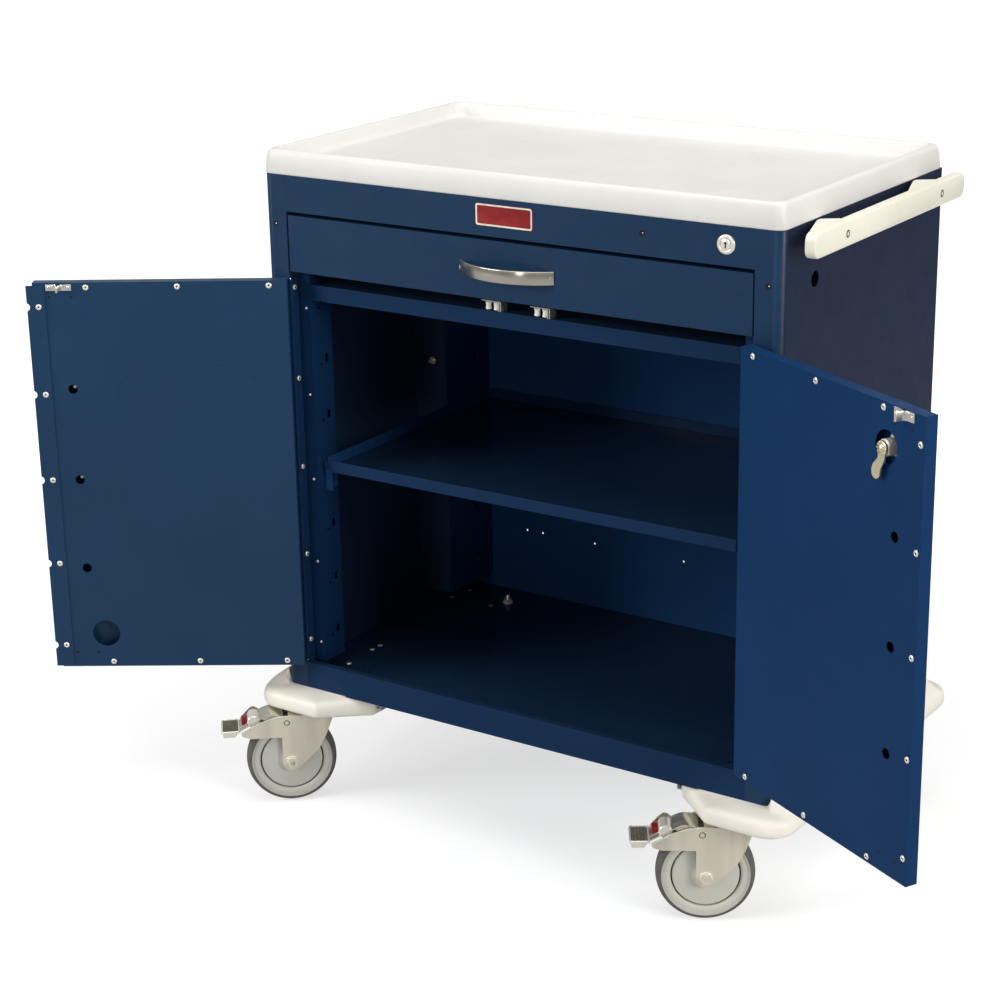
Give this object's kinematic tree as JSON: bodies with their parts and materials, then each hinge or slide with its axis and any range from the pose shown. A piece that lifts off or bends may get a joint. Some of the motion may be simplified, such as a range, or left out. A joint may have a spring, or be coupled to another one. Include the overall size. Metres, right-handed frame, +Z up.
{
  "type": "medication cart",
  "caption": "Sheet-steel medication cart with hinged doors, a drawer, a shelf, a tray top, a side push handle and braked swivel casters.",
  "frame": {"origin": "on the ground, at the middle of the cart's outline with the doors standing open", "axes": "+X to the cart's right seen from the front, -Y is the front, +Z up"},
  "size_m": [1.2772, 0.6898, 0.925],
  "materials": {
    "navy_paint": "semi-gloss powder coat, navy",
    "navy_inner_paint": "semi-gloss powder coat, navy, inside",
    "tray_plastic": "satin white moulding",
    "cream_plastic": "cream powder coat",
    "bumper_plastic": "satin cream moulding",
    "badge_enamel": "glossy red with a cream border",
    "satin_nickel": "brushed satin nickel",
    "stainless": "brushed stainless",
    "stamped_steel": "bright stamped steel",
    "wheel_plastic": "light grey moulding",
    "grey_rubber": "grey rubber",
    "roller_nylon": "white nylon",
    "zinc_cam": "yellow zinc plate",
    "drawer_steel": "grey paint",
    "grey_paint": "light grey paint",
    "zinc_plate": "bright zinc plate",
    "bright_metal": "bright nickel plate"
  },
  "bodies": {
    "cabinet": {"left_side_panel": "navy_paint", "right_side_panel": "navy_paint", "top_panel": "navy_paint", "cabinet_floor": "navy_paint", "back_panel": "navy_paint", "shelf_posts": "navy_inner_paint", "drawer_deck": "navy_paint", "shelf": "navy_paint", "shelf_clips": "navy_inner_paint", "worktop_tray": "tray_plastic", "push_handle_bar": "cream_plastic", "handle_brackets": "cream_plastic", "handle_screws": "bright_metal", "badge": "badge_enamel", "drawer_lock_housing": "bright_metal", "slide_cabinet_members": "zinc_plate", "left_hinge_frame_leaf": "navy_paint", "right_hinge_frame_leaf": "navy_paint", "hinge_pins": "zinc_plate", "frame_fasteners": "bright_metal", "roller_catches": "zinc_plate", "catch_rollers": "roller_nylon", "base_channels": "grey_paint", "corner_bumpers": "bumper_plastic", "caster_plates": "stainless"},
    "drawer": {"drawer_front": "navy_paint", "drawer_tray": "drawer_steel", "drawer_pull": "satin_nickel", "slide_drawer_members": "zinc_plate"},
    "slide_middles": {"slide_middle_members": "zinc_plate"},
    "drawer_lock": {"drawer_lock_cam": "bright_metal"},
    "left_door": {"left_door_skin": "navy_paint", "left_door_liner": "navy_paint", "left_door_astragal": "navy_paint", "left_door_rivets": "bright_metal", "left_door_strike": "zinc_plate", "left_door_pull": "satin_nickel", "left_hinge_door_leaf": "navy_paint"},
    "right_door": {"right_door_skin": "navy_paint", "right_door_liner": "navy_paint", "right_door_rivets": "bright_metal", "right_door_strike": "zinc_plate", "right_door_pull": "satin_nickel", "right_hinge_door_leaf": "navy_paint", "door_lock_housing": "bright_metal"},
    "door_lock": {"door_lock_cam": "zinc_cam"},
    "front_left_caster": {"front_left_fork": "stainless"},
    "front_left_roller": {"front_left_wheel": "wheel_plastic", "front_left_tyre": "grey_rubber"},
    "front_left_brake": {"front_left_pedal": "stamped_steel"},
    "front_right_caster": {"front_right_fork": "stainless"},
    "front_right_roller": {"front_right_wheel": "wheel_plastic", "front_right_tyre": "grey_rubber"},
    "front_right_brake": {"front_right_pedal": "stamped_steel"},
    "rear_left_caster": {"rear_left_fork": "stainless"},
    "rear_left_roller": {"rear_left_wheel": "wheel_plastic", "rear_left_tyre": "grey_rubber"},
    "rear_right_caster": {"rear_right_fork": "stainless"},
    "rear_right_roller": {"rear_right_wheel": "wheel_plastic", "rear_right_tyre": "grey_rubber"}
  },
  "joints": [
    {"name": "drawer_slide", "type": "slide", "parent": "cabinet", "child": "drawer", "axis": [0, -1, 0], "range_m": [0, 0.34]},
    {"name": "drawer_middle_slide", "type": "slide", "parent": "cabinet", "child": "slide_middles", "axis": [0, -1, 0], "range_m": [0, 0.17]},
    {"name": "drawer_lock_turn", "type": "hinge", "parent": "cabinet", "child": "drawer_lock", "pos_m": [0.3008, -0.14313, 0.8705], "axis": [0, -1, 0], "range_deg": [0, 90]},
    {"name": "left_door_hinge", "type": "hinge", "parent": "cabinet", "child": "left_door", "pos_m": [-0.3497, -0.14363, 0.482], "axis": [0, 0, -1], "range_deg": [-147.9, 27]},
    {"name": "right_door_hinge", "type": "hinge", "parent": "cabinet", "child": "right_door", "pos_m": [0.3363, -0.14363, 0.482], "axis": [0, 0, 1], "range_deg": [-152.4, 22.5]},
    {"name": "door_lock_turn", "type": "hinge", "parent": "right_door", "child": "door_lock", "pos_m": [0.58362, -0.27383, 0.707], "axis": [-0.4633, -0.8862, 0], "range_deg": [0, 180]},
    {"name": "front_left_swivel", "type": "hinge", "parent": "cabinet", "child": "front_left_caster", "pos_m": [-0.3407, -0.13513, 0.134], "axis": [0, 0, 1], "continuous": true},
    {"name": "front_left_spin", "type": "hinge", "parent": "front_left_caster", "child": "front_left_roller", "pos_m": [-0.37225, -0.16285, 0.0635], "axis": [0.66, -0.7513, 0], "continuous": true},
    {"name": "front_left_brake_press", "type": "hinge", "parent": "front_left_caster", "child": "front_left_brake", "pos_m": [-0.37639, -0.16648, 0.124], "axis": [0.66, -0.7513, 0], "range_deg": [0, 9]},
    {"name": "front_right_swivel", "type": "hinge", "parent": "cabinet", "child": "front_right_caster", "pos_m": [0.3273, -0.13513, 0.134], "axis": [0, 0, 1], "continuous": true},
    {"name": "front_right_spin", "type": "hinge", "parent": "front_right_caster", "child": "front_right_roller", "pos_m": [0.29184, -0.15764, 0.0635], "axis": [0.5358, -0.8443, 0], "continuous": true},
    {"name": "front_right_brake_press", "type": "hinge", "parent": "front_right_caster", "child": "front_right_brake", "pos_m": [0.28719, -0.16058, 0.124], "axis": [0.5358, -0.8443, 0], "range_deg": [0, 9]},
    {"name": "rear_left_swivel", "type": "hinge", "parent": "cabinet", "child": "rear_left_caster", "pos_m": [-0.3407, 0.30087, 0.134], "axis": [0, 0, 1], "continuous": true},
    {"name": "rear_left_spin", "type": "hinge", "parent": "rear_left_caster", "child": "rear_left_roller", "pos_m": [-0.37845, 0.28246, 0.0635], "axis": [0.4384, -0.8988, 0], "continuous": true},
    {"name": "rear_right_swivel", "type": "hinge", "parent": "cabinet", "child": "rear_right_caster", "pos_m": [0.3273, 0.30087, 0.134], "axis": [0, 0, 1], "continuous": true},
    {"name": "rear_right_spin", "type": "hinge", "parent": "rear_right_caster", "child": "rear_right_roller", "pos_m": [0.29466, 0.27444, 0.0635], "axis": [0.6293, -0.7771, 0], "continuous": true}
  ],
  "couplings": [
    {"joint": "drawer_middle_slide", "follows": "drawer_slide", "ratio": 0.5}
  ]
}
